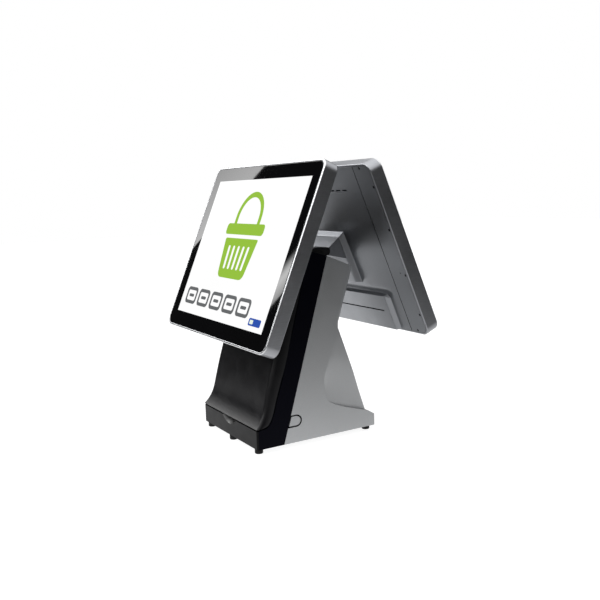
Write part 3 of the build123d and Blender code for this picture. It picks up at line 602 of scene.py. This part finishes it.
def grid_lines(half, fine):
    """Grid lines about 4 mm apart, with extra lines from (centre, reach, step) entries."""
    lines = list(np.linspace(-half, half, int(round(2 * half / 4.0)) + 1))
    for center, reach, step in fine:
        lines += [center + t for t in np.arange(-reach, reach + 1e-6, step)]
    lines = sorted(line for line in lines if -half - 1e-9 <= line <= half + 1e-9)
    kept = [lines[0]]
    for line in lines[1:]:
        if line - kept[-1] > 0.045:
            kept.append(line)
    kept[-1] = half
    return np.array(kept)


def rear_grid():
    """Grid lines in x and y, closer together at the cover's details."""
    # (distance from the middle, reach, step), used on both sides
    mirrored_x = [(43.2, 3.4, 0.45), (103.5, 5.5, 0.5), (SLOT_HALF_WIDTH, 0.06, 0.06),
                  (112.0, 6.0, 1.5), (REAR_HALF_WIDTH - 0.3, 0.3, 0.15),
                  (REAR_HALF_WIDTH - JOINT_WIDTH, 0.05, 0.05)]
    fine_x = [(sign * x, reach, step) for x, reach, step in mirrored_x for sign in (-1, 1)]
    for i in range(VENTS):
        center = VENT_START + i * VENT_PITCH
        for half in (VENT_HALF_WIDTH, LIP_HALF_WIDTH):
            fine_x += [(center - half, 0.05, 0.05), (center + half, 0.05, 0.05)]
    fine_y = [(28.5, 3.8, 0.45), (-57.0, 3.4, 0.45), (-76.2, 1.6, 0.2), (-81.0, 4.5, 0.5),
              (-70.5, 7.0, 1.0), (LIP_Y, 1.2, 0.2), (SLOT_Y, 3.0, 0.75)]
    for sign in (-1, 1):
        fine_y += [(SLOT_Y + sign * SLOT_HALF_HEIGHT, 0.06, 0.06),
                   (VENT_Y + sign * VENT_HALF_HEIGHT, 0.05, 0.05),
                   (sign * (REAR_HALF_HEIGHT - 0.3), 0.3, 0.15)]
    return grid_lines(REAR_HALF_WIDTH, fine_x), grid_lines(REAR_HALF_HEIGHT, fine_y)


def build_rear(side, matrix):
    """A height field closed by a rim and a plain inner face."""
    xs, ys = rear_grid()
    x, y = np.meshgrid(xs, ys, indexing="ij")
    height, _ = rear_height(x, y)
    coords = np.stack([x, y, -FRAME_DEPTH - height], -1).reshape(-1, 3).tolist()
    columns, rows = len(xs), len(ys)
    index = np.arange(columns * rows).reshape(columns, rows)
    faces = [(index[i, j], index[i, j + 1], index[i + 1, j + 1], index[i + 1, j])
             for i in range(columns - 1) for j in range(rows - 1)]
    # Faces in the vents, the slot and the joint get slot 1, the painted shade.
    middles = np.meshgrid(0.5 * (xs[:-1] + xs[1:]), 0.5 * (ys[:-1] + ys[1:]), indexing="ij")
    _, dark = rear_height(*middles)
    slots = dark.astype(int).ravel().tolist()

    rim = [*index[:, 0], *index[-1, 1:], *index[-2::-1, -1], *index[0, -2:0:-1]]
    base = len(coords)
    coords += [[coords[i][0], coords[i][1], REAR_INNER_Z] for i in rim]
    for a in range(len(rim)):
        b = (a + 1) % len(rim)
        faces.append((rim[a], rim[b], base + b, base + a))
    faces.append(tuple(range(base, base + len(rim))))
    slots += [0] * (len(rim) + 1)
    ob = mesh_object(f"{side}_rear_panel", coords, faces,
                     [MATERIALS["rear_shell"], MATERIALS["painted_shade"]], slots, matrix, angle=40)
    settle(ob, f"{side}_display", "rear_shell", f"{side}_rear_cover")


# --------------------------------------------------------------- front cover
def front_line(z):
    """y of the leaning front at height z."""
    return -68.5 + (z - 132.7) * 0.2828


# Rows from the bottom up: ((y, z) on the front, (y, z) of the seam on the side face,
# reach of the corner rounding inward from the side face).
COVER_ROWS = [
    ((-104.8, 38.3), (-100.4, 38.5), 2.6),
    ((-103.6, 39.5), (-98.6, 38.6), 2.8),
    ((-102.1, 41.1), (-97.0, 38.8), 3.2),
    ((-100.4, 43.1), (-95.0, 39.1), 3.8),
    ((-98.0, 46.3), (-91.5, 39.6), 4.6),
    ((-94.6, 51.8), (-86.2, 41.4), 6.0),
    ((-91.3, 58.9), (-81.3, 47.4), 7.4),
    ((-88.5, 68.0), (-77.2, 56.3), 8.6),
    ((-83.7, 87.5), (-70.4, 78.2), 10.0),
    ((-77.3, 110.5), (-61.7, 103.6), 10.0),
    ((-70.3, 133.0), (-52.6, 128.2), 10.0),
]
# The straight upper part: (front z, front offset in y, rounding reach).
for front_z, offset_y, reach in ((190.0, -0.8, 9.0), (258.0, 0.0, 7.0), (287.6, 0.0, 7.0)):
    seam_z = front_z - 4.5
    COVER_ROWS.append(((front_line(front_z) + offset_y, front_z),
                       (front_line(seam_z) + 16, seam_z), reach))
ROW_STEPS = 6
NOTCH_BOTTOM, NOTCH_HALF_WIDTH = 258.0, 46.0      # opening in the upper edge


def smooth_curve(points, steps):
    """Centripetal Catmull-Rom curve through the points, with this many steps per span."""
    def mix(a, b, start, end, t):
        return (end - t) / (end - start) * a + (t - start) / (end - start) * b

    points = np.array(points, float)
    points = np.vstack([2 * points[0] - points[1], points, 2 * points[-1] - points[-2]])
    curve = []
    for i in range(1, len(points) - 2):
        near = points[i - 1:i + 3]
        knots = [0.0]
        for a, b in zip(near, near[1:]):
            knots.append(knots[-1] + np.linalg.norm(b - a) ** 0.5)
        for t in np.linspace(knots[1], knots[2], steps, endpoint=False):
            first = [mix(near[k], near[k + 1], knots[k], knots[k + 1], t) for k in range(3)]
            second = [mix(first[k], first[k + 1], knots[k], knots[k + 2], t) for k in range(2)]
            curve.append(mix(second[0], second[1], knots[1], knots[2], t))
    curve.append(points[-2])
    return np.array(curve)


def cover_row(front, seam, reach):
    """One row from the +X side, round the corner, across the front and to the -X side."""
    distance = np.linalg.norm(front - seam)
    forward = (front - seam) / distance
    flat = 0.06 * distance
    right = [(STAND_HALF_WIDTH, *seam), (STAND_HALF_WIDTH, *(seam + forward * flat))]
    corner_steps = 12
    for k in range(1, corner_steps + 1):
        angle = math.radians(90.0 * k / corner_steps)
        place = seam + forward * (flat + (distance - flat) * math.sin(angle))
        right.append((STAND_HALF_WIDTH - reach * (1 - math.cos(angle)), *place))
    # Columns 6 mm apart; those outside the notch are spread to meet the corner.
    spread = (STAND_HALF_WIDTH - reach - NOTCH_HALF_WIDTH) / (81.0 - NOTCH_HALF_WIDTH)
    for x in range(75, 46, -6):
        right.append((NOTCH_HALF_WIDTH + (x - NOTCH_HALF_WIDTH) * spread, *front))
    for x in (NOTCH_HALF_WIDTH, *range(45, 0, -6)):
        right.append((x, *front))
    return right + [(-x, y, z) for x, y, z in reversed(right)]


def build_front_cover():
    fronts = smooth_curve([row[0] for row in COVER_ROWS], ROW_STEPS)
    seams = smooth_curve([row[1] for row in COVER_ROWS], ROW_STEPS)
    reaches = np.interp(np.arange(len(fronts)) / ROW_STEPS, np.arange(len(COVER_ROWS)),
                        [row[2] for row in COVER_ROWS])
    rows = [cover_row(*stations) for stations in zip(fronts, seams, reaches)]
    count = len(rows[0])
    coords = [(x, y - FRONT_SHIFT, z) for row in rows for x, y, z in row]
    faces = []
    for i in range(len(rows) - 1):
        middle_z = 0.5 * (fronts[i][1] + fronts[i + 1][1])
        for j in range(count - 1):
            middle_x = 0.5 * (rows[i][j][0] + rows[i][j + 1][0])
            if middle_z > NOTCH_BOTTOM and abs(middle_x) < NOTCH_HALF_WIDTH:
                continue
            here, above = i * count + j, (i + 1) * count + j
            faces.append((here, here + 1, above + 1, above))
    ob = mesh_object("service_cover_shell", coords, faces,
                     [MATERIALS["black_cover"], MATERIALS["shaded_black"]], angle=35)

    bm = bmesh.new()
    bm.from_mesh(ob.data)
    # Side faces take slot 1, a darker, bluer copy of the black plastic as painted shade.
    for face in bm.faces:
        if abs(face.calc_center_median().x) > (STAND_HALF_WIDTH - 0.005) * MM:
            face.material_index = 1
    loose = [vert for vert in bm.verts if not vert.link_faces]
    bmesh.ops.delete(bm, geom=loose, context="VERTS")
    # Outward is toward -Y on the front, so the wall thickens inward.
    foremost = min(bm.faces, key=lambda face: face.calc_center_median().y)
    if foremost.normal.y > 0:
        bmesh.ops.reverse_faces(bm, faces=bm.faces)
    bm.to_mesh(ob.data)
    bm.free()

    wall = ob.modifiers.new("Wall", "SOLIDIFY")
    wall.thickness = 2.4 * MM
    wall.offset = -1.0
    wall.use_even_offset = True
    edge = ob.modifiers.new("Edge", "BEVEL")
    edge.width = 0.35 * MM
    edge.segments = 3
    edge.limit_method = "ANGLE"
    edge.angle_limit = math.radians(50)
    add_weighted_normals(ob)
    settle(ob, "service_cover", "black_shell", "front_cover")


# -------------------------------------------------- CAD shapes, edges rounded
def bevelled(node, width):
    """The CAD node's shape as a new piece, with flat faces merged and edges rounded."""
    mesh = NODES[node].data.copy()
    mesh.name = node + "_fine"
    ob = bpy.data.objects.new(node + "_fine", mesh)
    scene.collection.objects.link(ob)
    if mesh.attributes.get("custom_normal") is not None:
        mesh.attributes.remove(mesh.attributes["custom_normal"])
    bm = bmesh.new()
    bm.from_mesh(mesh)
    bmesh.ops.remove_doubles(bm, verts=bm.verts, dist=2e-6)
    bmesh.ops.dissolve_limit(bm, angle_limit=math.radians(0.4), verts=bm.verts, edges=bm.edges)
    bm.to_mesh(mesh)
    bm.free()
    mesh.polygons.foreach_set("use_smooth", [True] * len(mesh.polygons))
    bevel = ob.modifiers.new("Bevel", "BEVEL")
    bevel.width = width * MM
    bevel.segments = 3
    bevel.limit_method = "ANGLE"
    bevel.angle_limit = math.radians(28.0)
    bevel.harden_normals = False
    bevel.use_clamp_overlap = True
    bevel.miter_outer = "MITER_ARC"
    add_weighted_normals(ob).weight = 80
    return ob


# Slots of every edge-rounded piece; slot 0 is its own material, slot 1 painted shade, slot 2 a
# darker, bluer painted-shade copy of the black plastic, slot 3 a lighter, more reflective
# painted-highlight copy of it.
PAINTED_SHADE, SHADED_BLACK, DISH_HIGHLIGHT = 1, 2, 3
DISH_CENTER = Vector((0.0, -104.5 - FRONT_SHIFT - 16.54, 59.1))
DISH_RADIUS = 37.0


def button_slot(mesh, face, center):
    """The walls of the gap round the side button are painted with shade."""
    return PAINTED_SHADE if center.x < 90.7 else 0


def rear_housing_slot(mesh, face, center):
    """Painted shade on the walls of the button opening in the +X wall, and the darker painted-shade
    black on the upward faces at the top.
    """
    if 87.0 < center.x < 93.0 and -75.0 < center.y < -45.0 and 30.0 < center.z < 52.0:
        return PAINTED_SHADE
    # Upward faces at the top are painted with the darker painted-shade copy of the black plastic.
    if face.normal.z > 0.9 and center.z > 255.0:
        return SHADED_BLACK
    return None


def front_housing_slot(mesh, face, center):
    """Side faces in the darker, bluer painted-shade copy of the black plastic, and a spherical dish
    in the front in a lighter, more reflective copy as painted highlight.
    """
    if abs(face.normal.x) > 0.9 and abs(abs(center.x) - STAND_HALF_WIDTH) < 0.5:
        return SHADED_BLACK
    # The dish faces take the lighter, more reflective painted-highlight copy of the black plastic.
    if abs(center.x) < 26 and all(
            abs((mesh.vertices[i].co / MM - DISH_CENTER).length - DISH_RADIUS) < 0.25
            for i in face.vertices):
        return DISH_HIGHLIGHT
    return None


FACE_SLOTS = {"power_button": button_slot, "rear_housing": rear_housing_slot,
              "front_housing": front_housing_slot}


def shrink_button(mesh):
    """Take 1 mm off every side in y and z."""
    for axis in (1, 2):
        values = [vert.co[axis] for vert in mesh.vertices]
        middle, half = 0.5 * (min(values) + max(values)), 0.5 * (max(values) - min(values))
        for vert in mesh.vertices:
            vert.co[axis] = middle + (vert.co[axis] - middle) * (half - 1.0 * MM) / half


def ease_hinge_cap(mesh):
    """Narrow the cap slightly and lower its top, in metres."""
    for vert in mesh.vertices:
        vert.co.x *= 0.975
        if vert.co.z > 0.285:
            vert.co.z -= min(0.0012, (vert.co.z - 0.285) * 0.3)


ROUNDED = [
    ("front_housing", 0.5, "stand", "black_shell"),
    ("rear_housing", 0.6, "stand", "silver_shell"),
    ("hinge_cap", 0.35, "stand", "black_part"),
    ("power_button", 0.3, "button", "silver_shell"),
    ("main_arm_hood", 0.7, "main_display", "rear_shell"),
    ("customer_arm_hood", 0.7, "customer_display", "rear_shell"),
    ("main_rear_rails", 0.15, "main_display", "rear_shell"),
    ("customer_rear_rails", 0.15, "customer_display", "rear_shell"),
]


def build_rounded(node, width, body, slot):
    ob = bevelled(node, width)
    paint(ob, *(MATERIALS[key] for key in (slot, "painted_shade", "shaded_black", "dish_highlight")))
    if node in FACE_SLOTS:
        for face in ob.data.polygons:
            face_slot = FACE_SLOTS[node](ob.data, face, face.center / MM)
            if face_slot is not None:
                face.material_index = face_slot
    if node == "power_button":
        shrink_button(ob.data)
    if node == "hinge_cap":
        ease_hinge_cap(ob.data)
    settle(ob, body, slot, node)


# -------------------------------------------------------- remaining CAD nodes
# material key: nodes that keep their CAD shape
PLAIN = {
    "zinc": ["base_plate", "spine_bracket", "io_connectors", "io_panel"],
    "rubber": ["rubber_feet"],
    "screw": ["spine_screws"],
    "steel": ["main_hinge_pin", "customer_hinge_pin", "friction_washers", "hinge_nuts",
              "cover_pivot_pins", "board_standoffs"],
    "black_part": ["power_switch", "speaker"],
    "board": ["mainboard"],
    "fins": ["heatsink"],
    "cable": ["display_cables"],
}
# material key: nodes found once in each display
PLAIN_DISPLAY = {
    "tape": ["glass_tape"],
    "cell": ["lcd_panel"],
    "acrylic": ["light_guide"],
    "zinc": ["backlight_tray", "mid_plate", "arm_bracket"],
    "board": ["controller_board"],
    "screw": ["rear_screws", "arm_screws"],
}


def paint_plain_nodes():
    for key, nodes in PLAIN.items():
        for node in nodes:
            paint(NODES[node], MATERIALS[key])
    for side, _ in SIDES:
        for key, nodes in PLAIN_DISPLAY.items():
            for node in nodes:
                paint(NODES[f"{side}_{node}"], MATERIALS[key])


# -------------------------------------------------------------------- studio
# Brightness of the floor as the object mirrors it: (distance in units of 3 m, value)
FLOOR_GLOW = [(0.0, 0.96), (0.08, 0.96), (0.16, 0.82), (0.22, 0.58), (0.30, 0.31),
              (0.5, 0.07), (1.0, 0.03)]
FLOOR_LEAN = 0.5                    # how much brighter the floor is toward -X than toward +X
# Brightness of the room as the object mirrors it: (0 straight down, 0.5 level, 1 overhead; value)
ROOM_GLOW = [(0.0, 0.03), (0.5, 0.03), (0.630, 0.035), (0.665, 0.8), (0.75, 1.15), (1.0, 1.45)]


def floor_material():
    """Pale and evenly lit to the camera; a fading glow to everything else."""
    material, g, bsdf = new_material("pale_floor")
    place = g.coords()
    length = g.new("VectorMath")
    length.operation = "LENGTH"
    g.feed(length, {0: place})
    distance = length.outputs["Value"]
    blotches = g.noise(place, scale=1.5, detail=3.0)
    g.feed(bsdf, {
        "Base Color": g.ramp(blotches, [(0.3, 0.30), (0.7, 0.32)]),
        "Roughness": 0.6,
        "Specular IOR Level": 0.0,
        "Emission Color": (1, 1, 1, 1),
        "Emission Strength": 0.86,
    })
    # The small added distance (metres) keeps the lean smooth at the middle.
    lean = g.math("DIVIDE", g.dot(place, (0.94, 0.34, 0.0)), g.plus(distance, 0.22))
    side = g.minus(1.0, g.times(lean, FLOOR_LEAN))
    fade = g.graded(g.times(distance, 1.0 / 3.0), FLOOR_GLOW)
    glow = g.new("Emission")
    g.feed(glow, {"Color": (1, 1, 1, 1), "Strength": g.times(fade, side)})
    g.camera_switch(glow.outputs[0], bsdf.outputs[0], "Material Output")
    return material


def build_floor():
    half, cells = 6000, 24
    lines = [-half + 2 * half * i / cells for i in range(cells + 1)]
    coords = [(x, y, 0.0) for x in lines for y in lines]
    row = cells + 1
    faces = []
    for i in range(cells):
        for j in range(cells):
            a = i * row + j
            faces.append((a, a + row, a + row + 1, a + 1))
    mesh_object("studio_floor", coords, faces, [floor_material()])


def glass_reflection(g, direction, up):
    """What the main glass mirrors: dark, with two slanted bands of light."""
    across_a = g.dot(direction, (-0.32231, 0.9466, 0.00838))
    across_b = g.dot(direction, (-0.43755, 0.89814, 0.04347))
    # Each band is a mask times a brightness that changes across it.
    band_a = g.times(g.step(across_a, zero=-0.0036, one=-0.003),
                     g.minus(3.3, g.times(across_a, 30.0)))
    mask_b = g.times(g.step(across_b, zero=0.0, one=0.0006),
                     g.step(across_b, zero=0.026, one=0.0115))
    band_b = g.times(mask_b, g.plus(3.1, g.times(across_b, 200.0)))
    band_b = g.times(band_b, g.step(up, zero=0.222, one=0.236))
    return g.plus(0.02, g.plus(band_a, band_b))


def build_world():
    """White to the camera; a graded room with soft lamps to everything else."""
    world = bpy.data.worlds.new("studio")
    scene.world = world
    world.use_nodes = True
    g = Graph(world.node_tree)
    direction = g.new("TexCoord").outputs["Generated"]
    split = g.new("SeparateXYZ")
    g.feed(split, {0: direction})
    up = split.outputs["Z"]
    elevation = g.plus(g.times(g.math("ARCSINE", up), 1.0 / math.pi), 0.5)
    room = g.graded(elevation, ROOM_GLOW)

    reflection = glass_reflection(g, direction, up)
    inside = g.cone(direction, (-0.8874, -0.3687, 0.2766), outer=10.5, inner=9.5)
    room = g.plus(g.times(room, g.minus(1.0, inside)), g.times(reflection, inside))

    # Soft lamps: in front toward +X; high toward -X, kept off the glass; high in front.
    lamp_right = g.cone(direction, Vector((0.49, -0.74, 0.38)).normalized(), outer=16, inner=9)
    lamp_left = g.cone(direction, Vector((-0.80, -0.28, 0.53)).normalized(), outer=24, inner=14)
    lamp_left = g.times(lamp_left, g.minus(1.0, inside))
    lamp_front = g.cone(direction, Vector((-0.08, -0.82, 0.57)).normalized(), outer=24, inner=12)
    lamps = g.plus(g.times(lamp_right, 0.9),
                   g.plus(g.times(lamp_left, 2.7), g.times(lamp_front, 2.2)))

    mirrored = world.node_tree.nodes["Background"]
    g.feed(mirrored, {"Color": (1, 1, 1, 1), "Strength": g.plus(room, lamps)})
    seen = g.new("Background")
    g.feed(seen, {"Color": (1, 1, 1, 1), "Strength": 1.0})
    g.camera_switch(mirrored.outputs[0], seen.outputs[0], "World Output")
    scene.view_settings.view_transform = "Standard"


def build_camera():
    """Camera in front on the +X side, looking back and slightly down."""
    azimuth, pitch, roll = math.radians(59.21), math.radians(8.08), math.radians(-1.84)
    forward = Vector((-math.sin(azimuth) * math.cos(pitch),
                      math.cos(azimuth) * math.cos(pitch), -math.sin(pitch)))
    level = Vector((math.cos(azimuth), math.sin(azimuth), 0.0))
    upright = level.cross(forward)
    right = level * math.cos(roll) + upright * math.sin(roll)
    up = -level * math.sin(roll) + upright * math.cos(roll)
    data = bpy.data.cameras.new("camera")
    data.sensor_width = 36.0
    data.lens = 45.624
    data.clip_start = 0.01
    camera = bpy.data.objects.new("camera", data)
    scene.collection.objects.link(camera)
    placing = Matrix((right, up, -forward)).transposed().to_4x4()
    placing.translation = Vector((1.041, -0.61135, 0.378))       # metres
    camera.matrix_world = placing
    scene.camera = camera


# --------------------------------------------------------------------- build
for side, matrix in SIDES:
    build_frame(side, matrix)
    build_glass(side, matrix)
    build_picture(side, matrix)
    build_rear(side, matrix)
build_front_cover()
for row in ROUNDED:
    build_rounded(*row)
paint_plain_nodes()
build_floor()
build_world()
build_camera()
